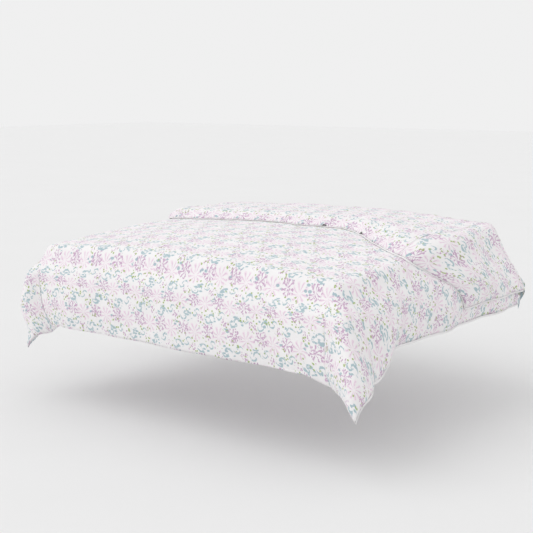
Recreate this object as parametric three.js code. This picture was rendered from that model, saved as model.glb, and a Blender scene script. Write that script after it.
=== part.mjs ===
// A duvet laid over a mattress: a printed cover round a box-stitched inner duvet, with the head end
// turned back over itself. The foot and both sides hang over the edges of the bed.
// Millimetres. The origin is on the mattress, in the middle of the flat underside. +X runs across the
// bed, +Y runs towards the head and +Z is up.
import * as THREE from "three";

// ---------------------------------------------------------------- driving dimensions

const mattressWidth = 1520; // the flat part between the two side edges
const topLength = 1300; // from the foot edge of the mattress to the turned-back fold
const turnBack = 530; // how far the flap reaches back from the fold
const sideDrop = 293; // side hem below the mattress top
const footDrop = 358; // foot hem below the mattress top
const loft = 44; // thickness of the filled duvet
const edgeRadius = 50; // bend of the middle layer over a mattress edge
const layerGap = 2; // air between the flap and the duvet under it
const columns = 4; // stitched boxes across the top
const rows = 3; // stitched boxes from the foot edge to the fold

const sideLean = THREE.MathUtils.degToRad(8); // how far the sides lean out from upright
const footLean = THREE.MathUtils.degToRad(5);
const cornerLean = THREE.MathUtils.degToRad(18); // the foot corners flare out further

const tipReach = 324; // how much further the flap reaches over the +X edge of the mattress
const tipPlace = 790; // where along the width it reaches furthest
const tipSlopeInner = 560; // how far the longer reach runs in over the top
const tipSlopeOuter = 330; // and how far it runs down the side

const taper = 90; // the loft thins out over this distance from the outer seams
const seamHalf = 5; // half the thickness where it meets an outer seam
const cloth = 1; // thickness of a cover panel
const clearance = 0.3; // between neighbouring pieces
const fillSlack = 1.5; // between the inner duvet and its cover
const stitchInset = 2; // from a line of box stitching to the filling on either side
const cornerInset = 12; // the same beside a foot corner, where the cloth crowds together
const hemInset = 12; // from an outer seam or the foot facing to the filling
const seamWidth = 6; // outer seam beyond the panels
const facingWidth = 26; // closing strip turned in at the foot opening
const facingThick = 1.5;

const studs = 3; // press studs that close the foot opening
const studSpacing = 400;
const studRadius = 6;
const studThick = 2;

// ---------------------------------------------------------------- the sheet and how it lies

const halfWidth = mattressWidth / 2;
const halfLoft = loft / 2;
const foldRadius = (loft + layerGap) / 2;

// Length of the middle layer from the edge of the flat part down to a hem.
function dropLength(drop, lean) {
  const bend = Math.PI / 2 - lean;
  const straight = (drop + halfLoft - edgeRadius * (1 - Math.cos(bend))) / Math.sin(bend);
  return edgeRadius * bend + straight;
}

const sideLength = dropLength(sideDrop, sideLean);
const footLength = dropLength(footDrop, footLean);
const halfSheet = halfWidth + sideLength;
const foldStart = footLength + topLength;
const foldEnd = foldStart + Math.PI * foldRadius;
const sheetEnd = foldEnd + turnBack;
const foldY = topLength / 2;

// A bend over an edge and the straight fall below it: distance out from the edge and height above
// the mattress, for a layer that lies `above` the middle layer of the duvet.
function fall(along, above, lean) {
  const radius = edgeRadius + above;
  const bend = Math.PI / 2 - lean;
  const angle = Math.min(along / radius, bend);
  const straight = Math.max(along - radius * bend, 0);
  return {
    out: radius * Math.sin(angle) + straight * Math.cos(bend),
    height: halfLoft - edgeRadius + radius * Math.cos(angle) - straight * Math.sin(bend),
  };
}

// How far back from the fold the free edge of the flap lies, as a multiple of turnBack.
function flapStretch(u) {
  const slope = u < tipPlace ? tipSlopeInner : tipSlopeOuter;
  const away = THREE.MathUtils.clamp((u - tipPlace) / slope, -1, 1);
  return 1 + (tipReach / turnBack) * Math.cos((away * Math.PI) / 2) ** 2;
}

// The middle layer. u runs across the sheet and v runs up it from the foot hem, both in millimetres
// of cloth. Past the fold the sheet turns over, so its top face looks down.
function middle(u, v) {
  const overSide = Math.max(Math.abs(u) - halfWidth, 0);
  const overFoot = Math.max(footLength - v, 0);
  const side = Math.sign(u);
  if (overFoot > 0) {
    const along = Math.hypot(overSide, overFoot);
    const turn = Math.atan2(overFoot, overSide);
    const plain = THREE.MathUtils.lerp(sideLean, footLean, Math.sin(turn) ** 2);
    const lean = plain + (cornerLean - plain) * Math.sin(2 * turn) ** 2;
    const { out, height } = fall(along, 0, lean);
    const x = Math.min(Math.abs(u), halfWidth) + out * Math.cos(turn);
    return new THREE.Vector3(side * x, -foldY - out * Math.sin(turn), height);
  }
  let above = 0;
  let y = v - footLength - foldY;
  if (v > foldEnd) {
    above = 2 * foldRadius;
    y = foldY - (v - foldEnd) * flapStretch(u);
  } else if (v > foldStart) {
    const angle = (v - foldStart) / foldRadius;
    above = foldRadius * (1 - Math.cos(angle));
    y = foldY + foldRadius * Math.sin(angle);
  }
  if (overSide === 0) return new THREE.Vector3(u, y, halfLoft + above);
  const { out, height } = fall(overSide, above, sideLean);
  return new THREE.Vector3(side * (halfWidth + out), y, height);
}

// The direction out of the top face of the sheet.
function topFace(u, v) {
  const step = 0.5;
  const across = middle(u + step, v).sub(middle(u - step, v));
  const up = middle(u, v + step).sub(middle(u, v - step));
  return across.cross(up).normalize();
}

// Half the thickness of the duvet, which thins out towards the outer seams.
function half(u, v) {
  const inward = Math.min(halfSheet - Math.abs(u), v, sheetEnd - v);
  const share = THREE.MathUtils.clamp(inward / taper, 0, 1);
  return seamHalf + (halfLoft - seamHalf) * Math.sin((share * Math.PI) / 2);
}

// ---------------------------------------------------------------- building a layer of the sheet

const bendSide = (Math.PI / 2 - sideLean) * edgeRadius;
const bendFlap = (Math.PI / 2 - sideLean) * (edgeRadius + 2 * foldRadius);
const bendFoot = (Math.PI / 2 - footLean) * edgeRadius;
const bendSteps = 5;
const fallSteps = 3;
const tipSteps = 6;

// The two ends of a stretch and the places between them, in order.
function divide(from, to, places) {
  const kept = places.filter((p) => p > from + 0.1 && p < to - 0.1);
  return [from, ...kept.sort((a, b) => a - b), to];
}

// Equal steps between two values, without the first one.
function steps(from, to, count) {
  return Array.from({ length: count }, (_, i) => from + ((i + 1) * (to - from)) / count);
}

// Lines that run up the sheet: at the edges of the bed, at the stitching, and at each place where
// the surface bends or the loft changes. Pieces that touch share these lines.
function linesAcross(from, to, bendLength) {
  const bendEnd = halfWidth + bendLength;
  const oneSide = [
    halfWidth - stitchInset,
    halfWidth,
    halfWidth + stitchInset,
    halfWidth + cornerInset,
    ...steps(halfWidth, bendEnd, bendSteps),
    halfSheet - taper,
    halfSheet - taper / 3,
    halfSheet - hemInset,
  ];
  if (bendLength === bendFlap) {
    const underTip = steps(0, tipPlace, tipSteps).slice(1, -1);
    oneSide.push(bendEnd - stitchInset, bendEnd + stitchInset, ...underTip);
  }
  const mirrored = oneSide.map((p) => -p);
  const stitching = steps(-halfWidth, halfWidth, columns).slice(0, -1);
  return divide(from, to, [...mirrored, ...stitching, ...oneSide]);
}

// The same for lines that run across the sheet.
function linesUp(from, to) {
  const straight = footLength - bendFoot;
  const nearHem = [clearance, facingWidth / 2, facingWidth, facingWidth + hemInset];
  const overFoot = [...nearHem, taper / 2, taper, ...steps(taper, straight, fallSteps)];
  const overEdge = [...steps(straight, footLength, bendSteps), footLength - stitchInset];
  const round = steps(foldStart, foldEnd, 2 * bendSteps);
  const nearHead = [sheetEnd - taper, sheetEnd - taper / 3, sheetEnd - hemInset];
  return divide(from, to, [...overFoot, ...overEdge, ...round, ...nearHead]);
}

const duvet = new THREE.Group();
duvet.name = "duvet_on_a_bed";

function addMesh(name, geometry, look) {
  const mesh = new THREE.Mesh(geometry, new THREE.MeshStandardMaterial(look));
  mesh.name = name;
  duvet.add(mesh);
  return mesh;
}

// One closed layer of the sheet between the lines across and up it, from `low` to `high` measured
// out of the middle layer: a grid of points for each face, joined round the rim.
function addLayer(name, across, up, low, high, look) {
  const corners = [];
  for (const offset of [low, high]) {
    for (const v of up) {
      for (const u of across) {
        const point = middle(u, v).addScaledVector(topFace(u, v), offset(u, v));
        corners.push(point.x, point.y, point.z);
      }
    }
  }
  const wide = across.length;
  const tall = up.length;
  const upper = wide * tall;
  const triangles = [];
  const addQuad = (a, b, c, d) => triangles.push(a, b, c, a, c, d);
  for (let row = 0; row < tall - 1; row += 1) {
    const start = row * wide;
    const end = start + wide - 1;
    for (let i = start; i < end; i += 1) {
      // the diagonals of the two sides of the bed mirror each other
      const ring = [i, i + 1, i + wide + 1, i + wide];
      if (across[i - start] + across[i - start + 1] > 0) ring.push(ring.shift());
      const [a, b, c, d] = ring;
      addQuad(upper + a, upper + b, upper + c, upper + d);
      addQuad(a, d, c, b);
    }
    addQuad(start, upper + start, upper + start + wide, start + wide);
    addQuad(end, end + wide, upper + end + wide, upper + end);
  }
  const last = (tall - 1) * wide;
  for (let i = 0; i < wide - 1; i += 1) {
    addQuad(i, i + 1, upper + i + 1, upper + i);
    addQuad(last + i + 1, last + i, upper + last + i, upper + last + i + 1);
  }
  const geometry = new THREE.BufferGeometry();
  geometry.setAttribute("position", new THREE.Float32BufferAttribute(corners, 3));
  geometry.setIndex(triangles);
  geometry.computeVertexNormals();
  return addMesh(name, geometry, look);
}

const printedCotton = { color: 0xf0e9ee, roughness: 0.9, metalness: 0 };
const plainCotton = { color: 0xf6f4f3, roughness: 0.9, metalness: 0 };
const filling = { color: 0xfbfaf6, roughness: 0.95, metalness: 0 };
const studPlastic = { color: 0xdfe0e2, roughness: 0.4, metalness: 0 };

// ---------------------------------------------------------------- inner duvet: stitched boxes

const fillTop = (u, v) => half(u, v) - cloth - fillSlack;
const fillUnder = (u, v) => -fillTop(u, v);

// A pocket of the inner duvet with its filling. The stitching between boxes leaves a narrow groove.
function addBox(name, left, right, low, high, bendLength) {
  addLayer(name, linesAcross(left, right, bendLength), linesUp(low, high), fillUnder, fillTop, filling);
}

const boxWidth = mattressWidth / columns;
const boxLength = topLength / rows;
const sides = [
  { word: "left", hand: -1 },
  { word: "right", hand: 1 },
];

// Ends of a stretch down one side of the sheet, from the smaller u to the larger.
function sideStretch(hand, inner, outer) {
  return hand > 0 ? [inner, outer] : [-outer, -inner];
}

for (let row = 0; row < rows; row += 1) {
  const low = footLength + row * boxLength + stitchInset;
  const high = low + boxLength - 2 * stitchInset;
  for (let column = 0; column < columns; column += 1) {
    const left = -halfWidth + column * boxWidth + stitchInset;
    const right = left + boxWidth - 2 * stitchInset;
    addBox(`inner_box_row${row + 1}_col${column + 1}`, left, right, low, high, bendSide);
  }
  for (const { word, hand } of sides) {
    const [left, right] = sideStretch(hand, halfWidth + stitchInset, halfSheet - hemInset);
    addBox(`inner_box_row${row + 1}_${word}_drop`, left, right, low, high, bendSide);
  }
}

const footLow = facingWidth + hemInset;
const footHigh = footLength - stitchInset;
for (let column = 0; column < columns; column += 1) {
  const leftInset = column === 0 ? cornerInset : stitchInset;
  const rightInset = column === columns - 1 ? cornerInset : stitchInset;
  const left = -halfWidth + column * boxWidth + leftInset;
  const right = -halfWidth + (column + 1) * boxWidth - rightInset;
  addBox(`inner_box_foot_drop_col${column + 1}`, left, right, footLow, footHigh, bendSide);
}
for (const { word, hand } of sides) {
  const [left, right] = sideStretch(hand, halfWidth + cornerInset, halfSheet - hemInset);
  addBox(`inner_box_foot_corner_${word}`, left, right, footLow, footHigh, bendSide);
}

// The fold: the filling rolls over on itself across the top and down both sides.
const rollLow = foldStart + clearance;
const rollHigh = foldEnd - clearance;
addBox("fold_roll_top", -halfWidth + stitchInset, halfWidth - stitchInset, rollLow, rollHigh, bendFlap);
for (const { word, hand } of sides) {
  const [left, right] = sideStretch(hand, halfWidth + stitchInset, halfSheet - hemInset);
  addBox(`fold_roll_${word}_side`, left, right, rollLow, rollHigh, bendFlap);
}

// The flap: one row of boxes on top, and on each side a shoulder that bends and a box that hangs.
const flapLow = foldEnd + stitchInset;
const flapHigh = sheetEnd - hemInset;
for (let column = 0; column < columns; column += 1) {
  const left = -halfWidth + column * boxWidth + stitchInset;
  addBox(`flap_box_col${column + 1}`, left, left + boxWidth - 2 * stitchInset, flapLow, flapHigh, bendFlap);
}
for (const { word, hand } of sides) {
  const shoulderEnd = halfWidth + bendFlap;
  const shoulder = sideStretch(hand, halfWidth + stitchInset, shoulderEnd - stitchInset);
  const hanging = sideStretch(hand, shoulderEnd + stitchInset, halfSheet - hemInset);
  addBox(`flap_shoulder_${word}`, ...shoulder, flapLow, flapHigh, bendFlap);
  addBox(`flap_box_${word}_drop`, ...hanging, flapLow, flapHigh, bendFlap);
}

// ---------------------------------------------------------------- printed cover

const coverTopOuter = (u, v) => half(u, v);
const coverTopInner = (u, v) => half(u, v) - cloth;
const coverUnderOuter = (u, v) => -half(u, v);
const coverUnderInner = (u, v) => -half(u, v) + cloth;

// Both panels of the cover over one stretch of the sheet.
function addPanels(topName, underName, left, right, low, high, bendLength) {
  const across = linesAcross(left, right, bendLength);
  const up = linesUp(low, high);
  addLayer(topName, across, up, coverTopInner, coverTopOuter, printedCotton);
  addLayer(underName, across, up, coverUnderOuter, coverUnderInner, printedCotton);
}

const mainHigh = foldStart - clearance;
addPanels("cover_top_panel", "cover_under_panel", -halfSheet, halfSheet, 0, mainHigh, bendSide);
addPanels(
  "flap_cover_inner_face",
  "flap_cover_outer_face",
  -halfWidth + clearance,
  halfWidth - clearance,
  foldEnd + clearance,
  sheetEnd,
  bendFlap,
);
for (const { word, hand } of sides) {
  const [left, right] = sideStretch(hand, halfWidth + clearance, halfSheet);
  addPanels(
    `flap_${word}_cover_inner_face`,
    `flap_${word}_cover_outer_face`,
    left,
    right,
    foldEnd + clearance,
    sheetEnd,
    bendFlap,
  );
}

// Round the outside of the fold only the under panel runs on; the top panel is pinched in the crease.
addLayer(
  "fold_cover",
  linesAcross(-halfSheet, halfSheet, bendFlap),
  linesUp(foldStart + clearance, foldEnd - clearance),
  coverUnderOuter,
  coverUnderInner,
  printedCotton,
);

// ---------------------------------------------------------------- outer seams and foot closing

const seamTop = () => seamHalf - cloth;
const seamUnder = () => -seamHalf + cloth;
const seamInner = halfSheet + clearance;
const headSeam = linesUp(sheetEnd + clearance, sheetEnd + seamWidth);

for (const { word, hand } of sides) {
  const edge = sideStretch(hand, seamInner, seamInner + seamWidth);
  const overFlap = sideStretch(hand, halfWidth + clearance, halfSheet);
  const mainUp = linesUp(0, mainHigh);
  const flapUp = linesUp(foldEnd + clearance, sheetEnd);
  addLayer(`side_seam_${word}`, edge, mainUp, seamUnder, seamTop, plainCotton);
  addLayer(`flap_${word}_side_seam`, edge, flapUp, seamUnder, seamTop, plainCotton);
  const overFlapLines = linesAcross(...overFlap, bendFlap);
  addLayer(`flap_${word}_head_seam`, overFlapLines, headSeam, seamUnder, seamTop, plainCotton);
}
addLayer(
  "flap_head_seam",
  linesAcross(-halfWidth + clearance, halfWidth - clearance, bendFlap),
  headSeam,
  seamUnder,
  seamTop,
  plainCotton,
);

// The foot end opens. A facing turned in from each panel closes it, held by press studs.
const facingAcross = linesAcross(-halfSheet, halfSheet, bendSide);
const facingUp = linesUp(clearance, facingWidth);
const facingNear = () => clearance / 2;
const facingFar = () => clearance / 2 + facingThick;
const underNear = () => -facingNear();
const underFar = () => -facingFar();
addLayer("foot_facing_top", facingAcross, facingUp, facingNear, facingFar, plainCotton);
addLayer("foot_facing_under", facingAcross, facingUp, underFar, underNear, plainCotton);

const studUp = facingWidth / 2;
for (let i = 0; i < studs; i += 1) {
  const across = (i - (studs - 1) / 2) * studSpacing;
  for (const { word, way } of [{ word: "cap", way: 1 }, { word: "socket", way: -1 }]) {
    const disc = addMesh(
      `press_stud_${word}_${i + 1}`,
      new THREE.CylinderGeometry(studRadius, studRadius, studThick, 16),
      studPlastic,
    );
    const away = way * (clearance / 2 + facingThick + clearance + studThick / 2);
    const outward = topFace(across, studUp);
    disc.position.copy(middle(across, studUp).addScaledVector(outward, away));
    disc.quaternion.setFromUnitVectors(new THREE.Vector3(0, 1, 0), outward);
  }
}

export default duvet;
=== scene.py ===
import math

import bmesh
import bpy
import numpy as np
from mathutils import Euler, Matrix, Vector, noise


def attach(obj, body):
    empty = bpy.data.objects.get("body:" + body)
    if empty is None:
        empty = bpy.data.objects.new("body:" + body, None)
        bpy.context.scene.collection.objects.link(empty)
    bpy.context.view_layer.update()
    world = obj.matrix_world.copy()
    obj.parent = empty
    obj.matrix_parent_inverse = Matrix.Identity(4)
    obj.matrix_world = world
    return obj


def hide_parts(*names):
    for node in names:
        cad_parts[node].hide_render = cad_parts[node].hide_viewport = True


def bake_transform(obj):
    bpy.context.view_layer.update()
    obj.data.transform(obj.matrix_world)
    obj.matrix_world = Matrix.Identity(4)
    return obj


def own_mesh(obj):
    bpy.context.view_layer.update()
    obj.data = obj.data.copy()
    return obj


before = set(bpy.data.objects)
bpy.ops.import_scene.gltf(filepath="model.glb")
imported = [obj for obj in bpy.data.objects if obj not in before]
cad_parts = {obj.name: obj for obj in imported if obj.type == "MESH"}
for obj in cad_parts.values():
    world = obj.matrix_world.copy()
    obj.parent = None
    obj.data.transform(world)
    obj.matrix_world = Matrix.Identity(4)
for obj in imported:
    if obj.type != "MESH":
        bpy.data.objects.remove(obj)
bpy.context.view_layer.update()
scene = bpy.context.scene

# ------------------------------------------------------------------------------------------------
# Camera. It stands beyond the foot of the bed on the right and looks a little down over the near
# foot corner, with a long lens and no shift.

camera_place = Vector((2.8864, -3.8027, 0.6605))
camera_turn = math.radians(37.91)  # round the upright, away from straight along the bed
camera_tilt = math.radians(-9.31)
camera_lens = 72.7

camera_data = bpy.data.cameras.new("camera")
camera_data.sensor_width = 36.0
camera_data.lens = camera_lens
camera = bpy.data.objects.new("camera", camera_data)
camera.location = camera_place
camera.rotation_euler = Euler((math.pi / 2 + camera_tilt, 0.0, camera_turn))
scene.collection.objects.link(camera)
scene.camera = camera

# ------------------------------------------------------------------------------------------------
# How the whole duvet lies. It is one sheet, half as long again as the bed top is wide, laid over a
# mattress, with the head end turned back. u runs across the sheet and v runs up it from the foot
# hem, both in metres of cloth, and every piece below takes its place from them.

mattress_half = 0.76  # from the middle of the bed to the side edge of its flat top
top_length = 1.30  # from the foot edge of the mattress to the turned-back fold
turn_back = 0.53  # reach of the flap
side_drop = 0.293  # side hem below the mattress top
foot_drop = 0.358  # foot hem below the mattress top
half_loft = 0.022
edge_radius = 0.05  # of the middle layer, over a mattress edge
layer_gap = 0.002
side_lean = math.radians(8)
foot_lean = math.radians(5)
corner_lean = math.radians(18)
tip_reach = 0.324  # extra reach of the flap over the right edge of the bed
tip_place = 0.79
tip_slope_inner = 0.56
tip_slope_outer = 0.33


def drop_length(drop, lean):
    """Length of cloth from the edge of the flat top down to a hem."""
    bend = math.pi / 2 - lean
    straight = (drop + half_loft - edge_radius * (1 - math.cos(bend))) / math.sin(bend)
    return edge_radius * bend + straight


side_length = drop_length(side_drop, side_lean)
foot_length = drop_length(foot_drop, foot_lean)
half_sheet = mattress_half + side_length
fold_radius = half_loft + layer_gap / 2
fold_start = foot_length + top_length
fold_end = fold_start + math.pi * fold_radius
sheet_end = fold_end + turn_back
fold_y = top_length / 2


def ease(value, start, end):
    """0 before start, 1 after end and smooth between, for arrays."""
    share = np.clip((value - start) / (end - start), 0, 1)
    return share * share * (3 - 2 * share)


def flap_stretch(u):
    """How far back the free edge of the flap lies, as a multiple of turn_back."""
    slope = np.where(u < tip_place, tip_slope_inner, tip_slope_outer)
    away = np.clip((u - tip_place) / slope, -1, 1)
    return 1 + tip_reach / turn_back * np.cos(away * math.pi / 2) ** 2


def middle_layer(u, v):
    """Places of the middle of the duvet for arrays of u and v, before it settles."""
    over_side = np.maximum(np.abs(u) - mattress_half, 0)
    over_foot = np.maximum(foot_length - v, 0)
    along = np.hypot(over_side, over_foot)
    turn = np.arctan2(over_foot, over_side)
    lean = side_lean + (foot_lean - side_lean) * np.sin(turn) ** 2
    lean = lean + (corner_lean - lean) * np.sin(2 * turn) ** 2
    round_fold = np.clip((v - fold_start) / fold_radius, 0, math.pi)
    above = fold_radius * (1 - np.cos(round_fold))
    before = np.clip(v - foot_length, 0, top_length)
    after = np.maximum(v - fold_end, 0) * flap_stretch(u)
    y = before - fold_y + fold_radius * np.sin(round_fold) - after
    radius = edge_radius + above
    bend = math.pi / 2 - lean
    angle = np.minimum(along / radius, bend)
    straight = np.maximum(along - radius * bend, 0)
    out = radius * np.sin(angle) + straight * np.cos(bend)
    z = half_loft - edge_radius + radius * np.cos(angle) - straight * np.sin(bend)
    x = np.sign(u) * (np.minimum(np.abs(u), mattress_half) + out * np.cos(turn))
    return np.stack([x, y - out * np.sin(turn), z], axis=-1)


def out_of_top_face(u, v):
    """Unit vectors out of the top face of the sheet."""
    step = 0.002
    across = middle_layer(u + step, v) - middle_layer(u - step, v)
    up = middle_layer(u, v + step) - middle_layer(u, v - step)
    out = np.cross(across, up)
    return out / np.linalg.norm(out, axis=-1, keepdims=True)


hem_taper = 0.11  # the filling thins out over this distance from a hem
hem_half = 0.002


def half_thickness(u, v):
    """Half the thickness of the duvet at a point of the sheet."""
    inward = np.minimum(np.minimum(half_sheet - np.abs(u), v), sheet_end - v)
    share = np.clip(inward / hem_taper, 0, 1)
    return hem_half + (half_loft - hem_half) * np.sin(share * math.pi / 2) ** 0.8


def soft_noise(points, size, seed):
    """Smooth noise from -1 to 1 with features of about the given size, at an array of points."""
    flat = points.reshape(-1, points.shape[-1]) / size
    values = [noise.noise(Vector((p[0], p[1], p[-1] + seed))) for p in flat]
    return np.array(values).reshape(points.shape[:-1])


middle_swell = 0.012
side_sink = 0.022  # how far the filling sinks over the side edges of the bed
side_sink_by_foot = 0.028  # more of it towards the foot
side_sink_lost_by_fold = 0.014
foot_sink = 0.042
shoulder_round = 0.024  # how far the bend over a side edge pulls in
foot_shoulder_round = 0.026
side_wave = 0.009
side_ripple = 0.005
foot_wave = 0.007
foot_ripple = 0.004
fold_bow = 0.006
fold_narrowing = 0.025  # at each end of the fold
fold_narrowing_right = 0.055  # more of it at the right end
corner_out = 0.030  # the cone of cloth at a foot corner, away from the bed
corner_tip_out = 0.020
corner_down = 0.105
corner_back = 0.075
corner_hem_down = 0.022
left_corner_in = 0.012
left_tip_in = 0.085
left_corner_back = 0.020
left_tip_back = 0.020


def settle(points):
    """How the laid duvet sinks, spreads and sways as a whole, as a shift of every point in space."""
    x, y, z = points[..., 0], points[..., 1], points[..., 2]
    side = np.sign(x)
    right = (side > 0) * 1.0
    hang = ease(-z, -0.03, 0.30)
    low = ease(-z, 0.10, 0.36)
    on_side = ease(np.abs(x), 0.72, 0.84)
    on_foot = ease(-y, 0.64, 0.75)
    near_fold = ease(y, 0.20, 0.66)

    # the filling swells in the middle of the bed and thins over its edges, most at the foot
    to_side = ease(np.abs(x), 0.20, 0.84)
    to_foot = ease(-y, 0.25, 0.76)
    edge_sink = side_sink + side_sink_by_foot * ease(-y, -0.30, 0.60)
    edge_sink = edge_sink - side_sink_lost_by_fold * near_fold
    swell = middle_swell * (1 - near_fold)
    sunk = swell - edge_sink * to_side * (1 - 0.5 * to_foot) - foot_sink * to_foot
    on_top = 1 - ease(-z, 0.0, 0.20)
    new_z = z + sunk * on_top

    # rounder shoulders: the corners of the cross-section pull in and the falls bulge out
    shoulder = np.exp(-(((z - 0.01) / 0.055) ** 2))
    bulge = ease(-z, 0.02, 0.12) * (1 - ease(-z, 0.16, 0.34))
    new_x = x - side * on_side * (shoulder_round * shoulder - 0.014 * bulge)
    new_y = y + on_foot * (foot_shoulder_round * shoulder - 0.012 * bulge)

    # slow waves along the hanging sides and the foot
    waves = side_wave * np.sin(y * 12.5 + 0.9 + side) + side_ripple * np.sin(y * 27 + 2.1 * side)
    foot_waves = foot_wave * np.sin(x * 9.2 + 0.6) + foot_ripple * np.sin(x * 21 + 1.0)
    away_from_corner = 1 - ease(np.hypot(np.abs(x) - 0.86, y + 0.78), 0.30, 0.12)
    new_x = new_x + side * on_side * hang * waves * away_from_corner
    new_y = new_y - on_foot * hang * foot_waves * away_from_corner

    # the fold bows a little towards the foot over the shoulders, which pull in across the bed
    bow = (fold_bow + fold_bow * right) * ease(np.abs(x), 0.25, 0.80) * near_fold
    new_y = new_y - bow * (1 - low)
    narrowed = ease(np.abs(x), 0.50, 0.84) * ease(y, 0.15, 0.60) * (1 - ease(-z, 0.04, 0.28))
    new_x = new_x - side * narrowed * (fold_narrowing + fold_narrowing_right * right)

    # each foot corner hangs as one wide rounded cone of cloth
    along_side = ease(-y, 0.40, 0.64)
    tip = ease(-y, 0.66, 0.80)
    cone = on_side * low * along_side
    new_x = new_x + side * cone * (corner_out + corner_tip_out * tip)
    tucked = (1 - right) * ease(np.hypot(x + 0.92, y + 0.80), 0.34, 0.06) * low
    turned_in = tucked * ease(-z, 0.24, 0.42)
    new_x = new_x + left_corner_in * tucked + left_tip_in * turned_in
    new_y = new_y + left_corner_back * tucked + left_tip_back * turned_in
    new_z = new_z - corner_down * cone * (1 - tip)
    new_y = new_y + corner_back * cone * (1 - tip)
    new_z = new_z - corner_hem_down * ease(np.abs(x), 0.66, 0.76) * low * on_foot * (1 - 0.6 * on_side)
    return np.stack([new_x, new_y, new_z], axis=-1)


def plumpness(u, v):
    """Soft hollows and swells of the filling, with shallow troughs over the inner box stitching."""
    cloth = np.stack([u, v], axis=-1)
    broad = soft_noise(cloth, 0.26, 1.5)
    small = soft_noise(cloth * np.array([1.0, 0.75]), 0.10, 7.5)
    box_u = np.abs(np.sin(math.pi * (u + mattress_half) / (mattress_half / 2)))
    box_v = np.abs(np.sin(math.pi * (v - foot_length) / (top_length / 3)))
    stitched = np.clip(np.minimum(box_u, box_v) / 0.35, 0, 1)
    shown = 1 - ease(v, fold_start - 0.14, fold_start)
    return shown * (0.006 * broad + 0.0026 * small - 0.0030 * (1 - stitched) ** 2)


pucker_height = 0.0021
pucker_reach = 0.055  # of the gathers, in from a seam


def puckers(u, v):
    """Short gathers that run in from the seams, where the thread pulls the cloth together."""
    to_side = half_sheet - np.abs(u)
    to_foot = v
    to_head = sheet_end - v
    along_side = np.sin(v * 118 + 2.5 * np.sin(v * 17)) * np.exp(-to_side / pucker_reach)
    along_foot = np.sin(u * 104 + 2.5 * np.sin(u * 15)) * np.exp(-to_foot / pucker_reach)
    along_head = np.sin(u * 98 + 2.5 * np.sin(u * 19 + 1)) * np.exp(-to_head / pucker_reach)
    nearest = np.minimum(np.minimum(to_side, to_foot), to_head)
    fade = np.minimum(1, 4 * nearest / pucker_reach)
    return pucker_height * (along_side + along_foot + along_head) * np.clip(fade, 0.25, 1)


corner_fold_height = 0.010
fold_ripple_height = 0.0026
nip_depth = 0.011
nip_ridge = 0.006
nip_places = ((0.16, 0.10, 0.5), (0.40, 0.07, 0.4))  # place in u, length, slant


def creases(u, v):
    """Longer soft folds: over the foot corners, by the tight fold and at two nips of the flap."""
    over_side = np.maximum(np.abs(u) - mattress_half, 0)
    over_foot = np.maximum(foot_length - v, 0)
    turn = np.arctan2(over_foot, over_side)
    reach = np.hypot(over_side, over_foot)
    in_corner = np.sin(2 * turn) ** 2 * ease(reach, 0.05, 0.22) * (over_foot > 0)
    corner = corner_fold_height * in_corner * np.sin(turn * 8 + 0.7 * np.sign(u))
    by_fold = np.exp(-(((v - fold_start - 0.036) / 0.05) ** 2)) * fold_ripple_height
    fold_ripple = by_fold * np.sin(u * 62 + 2 * np.sin(u * 11))
    nips = 0
    for place, length, turn_of_nip in nip_places:
        inward = sheet_end - v
        aside = u - place - turn_of_nip * inward
        nips = nips - nip_depth * np.exp(-((aside / 0.012) ** 2)) * np.exp(-inward / length)
        nips = nips + nip_ridge * np.exp(-(((aside - 0.03) / 0.02) ** 2)) * np.exp(-inward / length)
    return corner + fold_ripple + nips * (v > fold_end)


def lay(u, v, offset):
    """Places on the laid duvet: offset is the distance out of the middle layer, top face up."""
    middle = middle_layer(u, v)
    on_flap = ease(v, fold_end, fold_end + 0.10)
    thinned = half_loft - half_thickness(u, v)
    swell_below = plumpness(u, middle[..., 1] + fold_y + foot_length)
    outward = np.asarray(offset) + on_flap * (1.04 * thinned - swell_below)
    return settle(middle + out_of_top_face(u, v) * outward[..., None])


# ------------------------------------------------------------------------------------------------
# Printed cover, main part. Two panels of cotton percale, one over and one under the filling, sewn
# together down both sides. The same small botanical print runs on both faces, in staggered rows.

cloth_step = 0.0105  # grid of a panel
panel_thickness = 0.0008
print_across = 0.126
print_up = 0.122
row_shift = 0.37  # of a repeat, from one row to the next

mauve = (0.50, 0.27, 0.47, 1.0)
pale_pink = (0.86, 0.66, 0.78, 1.0)
blue_grey = (0.30, 0.46, 0.51, 1.0)
olive = (0.34, 0.46, 0.12, 1.0)
white_ground = (0.90, 0.885, 0.89, 1.0)


def grid_lines(start, end, step):
    count = max(2, round((end - start) / step) + 1)
    return np.linspace(start, end, count)


crease_radius = 0.020
crease_tuck = 0.036  # length of panel tucked into the fold from each side


def lay_past_crease(u, v, offset_of, crease):
    """Places on the sheet, with what lies beyond the crease curled inside the fold."""
    if crease is None:
        return lay(u, v, offset_of(u, v))
    held = np.minimum(v, crease) if crease == fold_start else np.maximum(v, crease)
    places = lay(u, held, offset_of(u, held))
    beyond = v - held
    curl = np.abs(beyond) / crease_radius
    places[:, 1] += crease_radius * np.sin(curl)
    places[:, 2] -= np.sign(beyond) * crease_radius * (1 - np.cos(curl))
    return places




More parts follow.
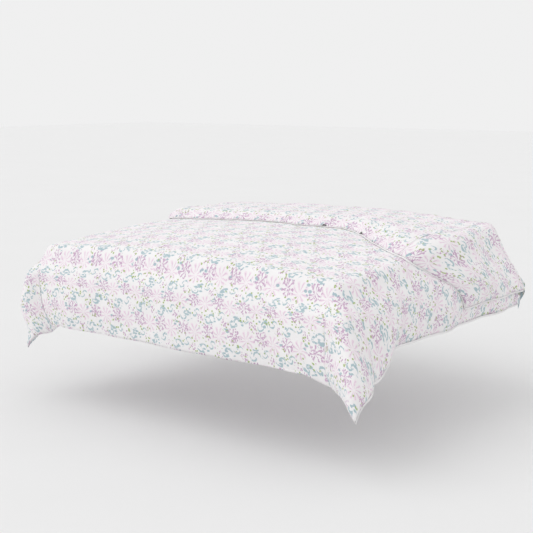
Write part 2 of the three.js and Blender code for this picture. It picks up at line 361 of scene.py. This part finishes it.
def cloth_grid(u_lines, v_lines, offset_of, facing, crease=None):
    """A bmesh of one face of the sheet between lines of u and v, with its own map of the cloth."""
    grid = bmesh.new()
    across, up = len(u_lines), len(v_lines)
    bmesh.ops.create_grid(grid, x_segments=across - 1, y_segments=up - 1, size=1.0)
    grid.verts.ensure_lookup_table()
    flat = np.array([v.co[:2] for v in grid.verts])
    column = np.rint((flat[:, 0] + 1) / 2 * (across - 1)).astype(int)
    row = np.rint((flat[:, 1] + 1) / 2 * (up - 1)).astype(int)
    u, v = u_lines[column], v_lines[row]
    places = lay_past_crease(u, v, offset_of, crease)
    cloth_map = grid.loops.layers.uv.new("cloth")
    for vert, place in zip(grid.verts, places):
        vert.co = place
    for face in grid.faces:
        face.smooth = True
        for loop in face.loops:
            loop[cloth_map].uv = (u[loop.vert.index], v[loop.vert.index])
    if facing < 0:
        bmesh.ops.reverse_faces(grid, faces=grid.faces[:])
    return grid


def new_piece(name, mesh_in_work, material):
    mesh = bpy.data.meshes.new(name)
    mesh_in_work.to_mesh(mesh)
    mesh_in_work.free()
    piece = bpy.data.objects.new(name, mesh)
    scene.collection.objects.link(piece)
    mesh.materials.append(material)
    return piece


def top_face(u, v):
    return half_thickness(u, v) + plumpness(u, v) + puckers(u, v) + creases(u, v)


def under_face(u, v):
    """The outside of the cover's under panel, which is the upper side of the flap."""
    on_flap = ease(v, fold_start, fold_end)
    near_fold = on_flap * (1 - ease(v, fold_end + 0.10, fold_end + 0.42))
    shoulder = ease(np.abs(u), 0.20, 0.72) * (0.45 + 0.55 * (u > 0))
    kept = 1 - 0.84 * near_fold * shoulder
    return -half_thickness(u, v) * kept + puckers(u, v) + creases(u, v) - on_flap * flap_swell(u, v)


def flap_inner_face(u, v):
    return half_thickness(u, v) - 0.0012 + 0 * u


def flap_swell(u, v):
    """Hollows and swells of the flap's upper side, which fade out towards its free edge."""
    cloth = np.stack([u, v], axis=-1)
    fade = 1 - ease(v, sheet_end - 0.12, sheet_end)
    swell = 0.006 * soft_noise(cloth, 0.24, 4.5) + 0.003 * soft_noise(cloth, 0.09, 9.5)
    return fade * swell


def panel(name, u_lines, v_lines, offset_of, facing, material, crease=None):
    """One panel of cloth, with its thickness on the inner side."""
    grid = cloth_grid(u_lines, v_lines, offset_of, facing, crease)
    piece = new_piece(name, grid, material)
    wall = piece.modifiers.new("cloth thickness", "SOLIDIFY")
    wall.thickness = panel_thickness
    wall.offset = -1.0
    return piece


class Nodes:
    """Makes shader nodes in one material and joins them as they are made."""

    def __init__(self, material):
        material.use_nodes = True
        self.tree = material.node_tree
        self.shader = self.tree.nodes["Principled BSDF"]

    def add(self, kind, inputs=(), **settings):
        node = self.tree.nodes.new(kind)
        for key, value in settings.items():
            setattr(node, key, value)
        for socket, value in dict(inputs).items():
            self.join(value, node.inputs[socket])
        return node

    def join(self, value, socket):
        if isinstance(value, bpy.types.NodeSocket):
            self.tree.links.new(value, socket)
        else:
            socket.default_value = value

    def math(self, operation, first, second=0.0, third=0.0):
        inputs = {0: first, 1: second, 2: third}
        return self.add("ShaderNodeMath", inputs, operation=operation).outputs[0]

    def ramp(self, value, start, end):
        """0 at start, 1 at end, smooth between."""
        inputs = {"Value": value, "From Min": start, "From Max": end}
        node = self.add("ShaderNodeMapRange", inputs, interpolation_type="SMOOTHSTEP")
        return node.outputs["Result"]

    def mix(self, share, first, second):
        node = self.add("ShaderNodeMix", data_type="RGBA")
        self.join(share, node.inputs["Factor"])
        self.join(first, node.inputs[6])
        self.join(second, node.inputs[7])
        return node.outputs[2]


def print_parts(nodes, u, v, place, radius):
    """Distance and angle from the nearest place where a motif is printed, in staggered rows."""
    up = nodes.math("DIVIDE", nodes.math("SUBTRACT", v, place[1]), print_up)
    row = nodes.math("ROUND", up)
    local_v = nodes.math("MULTIPLY", nodes.math("SUBTRACT", up, row), print_up)
    across = nodes.math("DIVIDE", nodes.math("SUBTRACT", u, place[0]), print_across)
    across = nodes.math("SUBTRACT", across, nodes.math("MULTIPLY", row, row_shift))
    local_u = nodes.math("SUBTRACT", across, nodes.math("ROUND", across))
    local_u = nodes.math("MULTIPLY", local_u, print_across)
    square = nodes.math("MULTIPLY", local_u, local_u)
    distance = nodes.math("SQRT", nodes.math("MULTIPLY_ADD", local_v, local_v, square))
    return nodes.math("DIVIDE", distance, radius), nodes.math("ARCTAN2", local_v, local_u)


def strokes(nodes, distance, angle, count, width, twist, inner, outer):
    """Radial brush strokes round a centre, between two radii, as a mask."""
    turned = nodes.math("MULTIPLY_ADD", distance, twist, nodes.math("MULTIPLY", angle, count))
    stroke = nodes.ramp(nodes.math("COSINE", turned), 1 - width, 1 - width * 0.45)
    inside = nodes.ramp(distance, inner - 0.06, inner + 0.06)
    outside = nodes.ramp(distance, outer + 0.08, outer - 0.08)
    return nodes.math("MULTIPLY", stroke, nodes.math("MULTIPLY", inside, outside))


def either(nodes, first, second):
    return nodes.math("MAXIMUM", first, second)


def percale(name, printed):
    """Cotton percale: a fine plain weave with a dry sheen, plain or with the botanical print."""
    material = bpy.data.materials.new(name)
    nodes = Nodes(material)
    cloth_map = nodes.add("ShaderNodeUVMap", uv_map="cloth").outputs[0]
    parts = nodes.add("ShaderNodeSeparateXYZ", {0: cloth_map})
    u, v = parts.outputs[0], parts.outputs[1]
    cloud = nodes.add("ShaderNodeTexNoise", {"Vector": cloth_map, "Scale": 9.0, "Detail": 3.0})
    shade = nodes.ramp(cloud.outputs["Fac"], 0.3, 0.7)
    slub = nodes.add("ShaderNodeTexNoise", {"Vector": cloth_map, "Scale": 420.0, "Detail": 2.0})
    threads = [
        nodes.math("SINE", nodes.math("MULTIPLY", direction, 2 * math.pi / 0.0011))
        for direction in (u, v)
    ]
    weave = nodes.math("MULTIPLY", threads[0], threads[1])
    colour = nodes.mix(shade, (0.87, 0.852, 0.858, 1.0), white_ground)
    if printed:
        wander = nodes.add("ShaderNodeTexNoise", {"Vector": cloth_map, "Scale": 55.0})
        shift = nodes.add("ShaderNodeSeparateXYZ", {0: wander.outputs["Color"]})
        hand_u = nodes.math("MULTIPLY_ADD", nodes.math("SUBTRACT", shift.outputs[0], 0.5), 0.014, u)
        hand_v = nodes.math("MULTIPLY_ADD", nodes.math("SUBTRACT", shift.outputs[1], 0.5), 0.014, v)
        brush = nodes.add("ShaderNodeTexNoise", {"Vector": cloth_map, "Scale": 130.0, "Detail": 3.0})
        dry = nodes.ramp(brush.outputs["Fac"], 0.30, 0.50)

        def dabs(size, flat, turn):
            """Short separate touches of the brush, about the given size, drawn out along one way."""
            drawn = {"Vector": cloth_map, "Scale": (flat, 1.0, 1.0), "Rotation": (0.0, 0.0, turn)}
            place = nodes.add("ShaderNodeMapping", drawn).outputs[0]
            cells = nodes.add("ShaderNodeTexVoronoi", {"Vector": place, "Scale": 1 / size})
            return nodes.ramp(cells.outputs["Distance"], 0.46, 0.30)

        def cluster(place, radius, mask):
            """A group of touches inside a round with a ragged edge."""
            far, way = print_parts(nodes, hand_u, hand_v, place, radius)
            lobes = nodes.math("SINE", nodes.math("MULTIPLY", way, 5.0))
            ragged = nodes.math("MULTIPLY_ADD", lobes, 0.14, far)
            return nodes.math("MULTIPLY", nodes.ramp(ragged, 0.98, 0.86), mask)

        far, way = print_parts(nodes, hand_u, hand_v, (0.030, 0.090), 0.036)
        blossom = strokes(nodes, far, way, 9, 1.35, 0.9, 0.10, 1.0)
        colour = nodes.mix(nodes.math("MULTIPLY", blossom, 0.55), colour, pale_pink)
        veins = nodes.math("MULTIPLY", strokes(nodes, far, way, 9, 0.30, 0.9, 0.2, 0.9), dry)
        colour = nodes.mix(nodes.math("MULTIPLY", veins, 0.34), colour, mauve)

        upright = dabs(0.0105, 1.5, 0.4)
        sloping = dabs(0.0125, 0.55, 0.25)
        far, way = print_parts(nodes, hand_u, hand_v, (0.098, 0.100), 0.031)
        coral = nodes.math("MULTIPLY", strokes(nodes, far, way, 7, 0.60, 1.9, 0.05, 0.9), dry)
        coral = either(nodes, coral, cluster((0.098, 0.100), 0.035, upright))
        sprig = cluster((0.012, 0.024), 0.021, upright)
        mauves = either(nodes, coral, sprig)
        colour = nodes.mix(nodes.math("MULTIPLY", mauves, 0.80), colour, mauve)

        far, way = print_parts(nodes, hand_u, hand_v, (0.060, 0.030), 0.026)
        curl = nodes.math("MULTIPLY", strokes(nodes, far, way, 2, 0.55, 5.6, 0.10, 1.0), dry)
        leaves = either(nodes, curl, cluster((0.066, 0.032), 0.031, sloping))
        far, way = print_parts(nodes, hand_u, hand_v, (0.114, 0.048), 0.020)
        ladle = nodes.math("MULTIPLY", strokes(nodes, far, way, 2, 0.60, 5.0, 0.05, 1.0), dry)
        leaves = either(nodes, leaves, ladle)
        leaves = either(nodes, leaves, cluster((0.064, 0.108), 0.019, sloping))
        colour = nodes.mix(nodes.math("MULTIPLY", leaves, 0.80), colour, blue_grey)

        spots = nodes.add("ShaderNodeTexVoronoi", {"Vector": cloth_map, "Scale": 66.0})
        spot = nodes.ramp(spots.outputs["Distance"], 0.33, 0.24)
        groups = 0.0
        spot_groups = (
            ((0.090, 0.062), 0.030),
            ((0.030, 0.058), 0.024),
            ((0.060, 0.134), 0.022),
        )
        for place, radius in spot_groups:
            far, _ = print_parts(nodes, u, v, place, radius)
            groups = either(nodes, nodes.ramp(far, 1.0, 0.85), groups)
        spot = nodes.math("MULTIPLY", spot, groups)
        colour = nodes.mix(nodes.math("MULTIPLY", spot, 0.85), colour, olive)
    nodes.join(colour, nodes.shader.inputs["Base Color"])
    nodes.shader.inputs["Roughness"].default_value = 0.88
    nodes.shader.inputs["Sheen Weight"].default_value = 0.18
    nodes.shader.inputs["Sheen Roughness"].default_value = 0.5
    nodes.shader.inputs["Specular IOR Level"].default_value = 0.25
    rumple = nodes.add("ShaderNodeTexNoise", {"Vector": cloth_map, "Scale": 34.0, "Detail": 4.0})
    height = nodes.math("MULTIPLY_ADD", weave, 0.05, nodes.math("MULTIPLY", rumple.outputs["Fac"], 3.0))
    height = nodes.math("MULTIPLY_ADD", slub.outputs["Fac"], 0.12, height)
    bump_inputs = {"Height": height, "Strength": 0.5, "Distance": 0.0012}
    bump = nodes.add("ShaderNodeBump", bump_inputs)
    nodes.join(bump.outputs[0], nodes.shader.inputs["Normal"])
    return material


printed_cotton = percale("printed cotton percale", True)

whole_width = grid_lines(-half_sheet, half_sheet, cloth_step)
main_length = grid_lines(0.0, fold_start, cloth_step)

tucked_in = grid_lines(fold_start, fold_start + crease_tuck, cloth_step)[1:]
top_length_lines = np.concatenate([main_length, tucked_in])
top_panel = panel(
    "top_panel", whole_width, top_length_lines, top_face, 1, printed_cotton, fold_start
)
under_panel = panel("under_panel", whole_width, main_length, under_face, -1, printed_cotton)
for piece, node in ((top_panel, "cover_top_panel"), (under_panel, "cover_under_panel")):
    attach(piece, "laid_duvet")
    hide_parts(node)

# ------------------------------------------------------------------------------------------------
# Inner duvet, main part. A bag of fine white cotton filled with fibre and stitched through in
# boxes, so that the filling stays where it is. It lies loose inside the cover.

fill_step = 0.03
inside_cover = 0.004

inner_cotton = percale("inner duvet cotton", False)


def fill_top(u, v):
    face = np.where(v < fold_start, top_face(u, v), half_thickness(u, v) - 0.001)
    return np.maximum(face - inside_cover, 0.0008)


def fill_under(u, v):
    return np.minimum(under_face(u, v) + inside_cover, -0.0008)


def closed_piece(name, u_lines, v_lines, top_of, under_of, material):
    """A closed piece between lines of u and v: two faces of cloth joined round the rim."""
    closed = cloth_grid(u_lines, v_lines, top_of, 1)
    under = cloth_grid(u_lines, v_lines, under_of, -1)
    joined = bpy.data.meshes.new(name)
    under.to_mesh(joined)
    under.free()
    closed.from_mesh(joined)
    bpy.data.meshes.remove(joined)
    rims = [edge for edge in closed.edges if edge.is_boundary]
    bmesh.ops.bridge_loops(closed, edges=rims)
    bmesh.ops.recalc_face_normals(closed, faces=closed.faces[:])
    for face in closed.faces:
        face.smooth = True
    return new_piece(name, closed, material)


def filled_bag(name, u_lines, v_lines):
    return closed_piece(name, u_lines, v_lines, fill_top, fill_under, inner_cotton)


def nodes_named(*starts):
    return [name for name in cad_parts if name.startswith(starts)]


bag_inset = 0.014
bag_width = grid_lines(-half_sheet + bag_inset, half_sheet - bag_inset, fill_step)
inner_duvet = filled_bag("inner_duvet", bag_width, grid_lines(bag_inset, fold_start - 0.002, fill_step))
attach(inner_duvet, "laid_duvet")
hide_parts(*nodes_named("inner_box_"))

# ------------------------------------------------------------------------------------------------
# Turned-back flap. The head end of the same cover rolls round the fold and lies face down, so the
# under panel shows on top. Its two sides hang over the bed edges.

side_split = 0.74  # of u, where the middle of the flap ends and a side begins
flap_length = grid_lines(fold_end, sheet_end, cloth_step)
tuck_length = grid_lines(fold_end - crease_tuck, fold_end, cloth_step)[:-1]
inner_length = np.concatenate([tuck_length, flap_length])
flap_middle = grid_lines(-side_split, side_split, cloth_step)
roll_step = 0.006


def hang_at_edge(piece):
    """Bakes the piece's placing into its mesh; its turn round the bed edge is already in its shape."""
    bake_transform(piece)


flap_outer = panel("flap_outer_panel", flap_middle, flap_length, under_face, -1, printed_cotton)
flap_inner = panel(
    "flap_inner_panel", flap_middle, inner_length, flap_inner_face, 1, printed_cotton, fold_end
)
for piece, node in (
    (flap_outer, "flap_cover_outer_face"),
    (flap_inner, "flap_cover_inner_face"),
):
    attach(piece, "flap")
    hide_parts(node)

flap_filling = filled_bag(
    "flap_filling",
    grid_lines(-side_split, side_split, fill_step),
    grid_lines(fold_end, sheet_end - bag_inset, fill_step),
)
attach(flap_filling, "flap")
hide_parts(*nodes_named("flap_box_col", "fold_roll_top"))

for word, hand in (("left", -1), ("right", 1)):
    ends = sorted((hand * side_split, hand * half_sheet))
    side_lines = grid_lines(ends[0], ends[1], cloth_step)
    outer = panel(f"flap_{word}_outer_panel", side_lines, flap_length, under_face, -1, printed_cotton)
    inner = panel(
        f"flap_{word}_inner_panel",
        side_lines,
        inner_length,
        flap_inner_face,
        1,
        printed_cotton,
        fold_end,
    )
    inset_ends = sorted((hand * side_split, hand * (half_sheet - bag_inset)))
    bag = filled_bag(
        f"flap_{word}_filling",
        grid_lines(inset_ends[0], inset_ends[1], fill_step),
        grid_lines(fold_end + fill_step, sheet_end - bag_inset, fill_step),
    )
    for piece in (outer, inner, bag):
        hang_at_edge(piece)
    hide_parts(f"flap_{word}_cover_outer_face")
    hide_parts(f"flap_{word}_cover_inner_face")
    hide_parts(f"flap_shoulder_{word}", f"flap_box_{word}_drop")

# The roll of the fold is in two halves, which meet at its outermost line.
# The near half stays with the laid part and the far half goes with the flap or its sides.
half_way = (fold_start + fold_end) / 2
roll_split = 0.85  # of u, half way round the bend at the bed edge
roll_parts = (
    ("fold_left_near_half", -half_sheet, -side_split, "laid_duvet", "fold_roll_left_side"),
    ("fold_middle_near_half", -side_split, side_split, "laid_duvet", "fold_cover"),
    ("fold_right_near_half", side_split, half_sheet, "laid_duvet", "fold_roll_right_side"),
    ("fold_left_far_half", -half_sheet, -roll_split, "flap_left", None),
    ("fold_middle_far_half", -roll_split, roll_split, "flap", None),
    ("fold_right_far_half", roll_split, half_sheet, "flap_right", None),
)
for name, from_u, to_u, body, node in roll_parts:
    low, high = (half_way, fold_end) if node is None else (fold_start, half_way)
    roll = panel(
        name,
        grid_lines(from_u, to_u, cloth_step),
        grid_lines(low, high, roll_step),
        under_face,
        -1,
        printed_cotton,
    )
    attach(roll, body)
    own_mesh(roll)
    if node is not None:
        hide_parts(node)

# ------------------------------------------------------------------------------------------------
# Seams. Where the two panels meet they are overlocked, turned and topstitched, which leaves a firm
# narrow edge down both sides and along the head end.

seam_width = 0.007
seam_half = 0.0014  # half the thickness of the edge
seam_bumps = 0.0005
plain_cotton = percale("seam cotton", False)


def seam_top(u, v):
    return seam_half + seam_bumps * np.sin(240 * (u + v))


def seam_under(u, v):
    return -seam_half + 0 * u


def seam(name, u_lines, v_lines, body_calls, nodes_replaced):
    """A thin closed strip just outside a hem."""
    piece = closed_piece(name, u_lines, v_lines, seam_top, seam_under, plain_cotton)
    body_calls(piece)
    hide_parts(*nodes_replaced)
    return piece


for word, hand in (("left", -1), ("right", 1)):
    across = np.sort(np.array([0.0, 0.4, 1.0]) * hand * seam_width + hand * half_sheet)
    side_lines = grid_lines(*sorted((hand * side_split, hand * half_sheet)), cloth_step)
    beyond = sheet_end + np.array([0.0, 0.4, 1.0]) * seam_width

    def with_side(piece):
        hang_at_edge(piece)

    seam(
        f"side_seam_of_{word}",
        across,
        main_length,
        lambda p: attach(p, "laid_duvet"),
        [f"side_seam_{word}"],
    )
    seam(f"flap_{word}_hem_seam", across, flap_length, with_side, [f"flap_{word}_side_seam"])
    seam(f"flap_{word}_end_seam", side_lines, beyond, with_side, [f"flap_{word}_head_seam"])
seam("flap_end_seam", flap_middle, beyond, lambda p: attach(p, "flap"), ["flap_head_seam"])

# ------------------------------------------------------------------------------------------------
# Foot closing. The cover opens at the foot. Each panel ends in a stitched facing, and a row of
# moulded press studs holds the two facings together.

facing_width = 0.026
facing_gap = 0.0004
facing_lines = grid_lines(0.0005, facing_width, facing_width / 4)


def facing_face(way):
    return lambda u, v: way * (facing_gap + panel_thickness) + puckers(u, v) + creases(u, v)


for name, way in (("foot_facing_top", 1), ("foot_facing_under", -1)):
    facing = panel(f"{name}_strip", whole_width, facing_lines, facing_face(way), way, printed_cotton)
    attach(facing, "laid_duvet")
    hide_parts(name)

stud_plastic = bpy.data.materials.new("press stud plastic")
stud_nodes = Nodes(stud_plastic)
stud_place = stud_nodes.add("ShaderNodeTexCoord").outputs["Object"]
stud_cloud = stud_nodes.add("ShaderNodeTexNoise", {"Vector": stud_place, "Scale": 300.0})
stud_colour = stud_nodes.mix(stud_cloud.outputs["Fac"], (0.70, 0.71, 0.73, 1), (0.80, 0.81, 0.82, 1))
stud_nodes.join(stud_colour, stud_nodes.shader.inputs["Base Color"])
stud_nodes.shader.inputs["Roughness"].default_value = 0.32
stud_spacing = 0.40
stud_radius = 0.006
stud_thick = 0.002
for number in (1, 2, 3):
    across = np.array([(number - 2) * stud_spacing])
    up = np.array([facing_width / 2])
    for word, way in (("cap", 1), ("socket", -1)):
        inner, outer = (
            Vector(lay(across, up, facing_face(way)(across, up) + way * rise)[0])
            for rise in (0.0, stud_thick)
        )
        disc = bmesh.new()
        bmesh.ops.create_cone(
            disc,
            cap_ends=True,
            segments=32,
            radius1=stud_radius,
            radius2=stud_radius * 0.8,
            depth=stud_thick,
        )
        rim_edges = [
            edge for edge in disc.edges if any(len(face.verts) != 4 for face in edge.link_faces)
        ]
        bmesh.ops.bevel(
            disc,
            geom=rim_edges,
            offset=0.0004,
            affect="EDGES",
            segments=2,
            profile=0.5,
            material=-1,
        )
        turn = (outer - inner).to_track_quat("Z", "Y")
        bmesh.ops.rotate(disc, verts=disc.verts, cent=(0, 0, 0), matrix=turn.to_matrix())
        bmesh.ops.translate(disc, verts=disc.verts, vec=(inner + outer) / 2)
        stud = new_piece(f"stud_{word}_{number}", disc, stud_plastic)
        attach(stud, "laid_duvet")
        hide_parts(f"press_stud_{word}_{number}")

# ------------------------------------------------------------------------------------------------
# Studio. A plain pale floor at the height the bed would stand on, and soft broad light from above
# and from the left of the camera.

floor_height = -0.706
floor_mesh = bmesh.new()
bmesh.ops.create_grid(floor_mesh, x_segments=1, y_segments=1, size=30.0)
bmesh.ops.translate(floor_mesh, verts=floor_mesh.verts, vec=(0, 0, floor_height))
floor_material = bpy.data.materials.new("studio floor")
floor_nodes = Nodes(floor_material)
floor_place = floor_nodes.add("ShaderNodeTexCoord").outputs["Object"]
floor_cloud = floor_nodes.add("ShaderNodeTexNoise", {"Vector": floor_place, "Scale": 2.0})
floor_colour = floor_nodes.mix(floor_cloud.outputs["Fac"], (0.80, 0.80, 0.80, 1), (0.82, 0.82, 0.82, 1))
floor_nodes.join(floor_colour, floor_nodes.shader.inputs["Base Color"])
floor_nodes.shader.inputs["Roughness"].default_value = 0.9
studio_floor = new_piece("studio_floor", floor_mesh, floor_material)

world = bpy.data.worlds.new("studio")
world.use_nodes = True
world.node_tree.nodes["Background"].inputs["Color"].default_value = (0.87, 0.87, 0.87, 1)
world.node_tree.nodes["Background"].inputs["Strength"].default_value = 1.0
scene.world = world
scene.view_settings.view_transform = "Standard"


def soft_sun(name, direction, strength, spread):
    """A broad far light that shines along a direction."""
    data = bpy.data.lights.new(name, "SUN")
    data.energy = strength
    data.angle = math.radians(spread)
    light = bpy.data.objects.new(name, data)
    light.rotation_euler = Vector(direction).to_track_quat("-Z", "Y").to_euler()
    scene.collection.objects.link(light)


soft_sun("from above on the left", (0.75, 0.75, -1.6), 0.55, 50)
soft_sun("from the foot", (0.25, 1.0, -0.35), 0.22, 60)
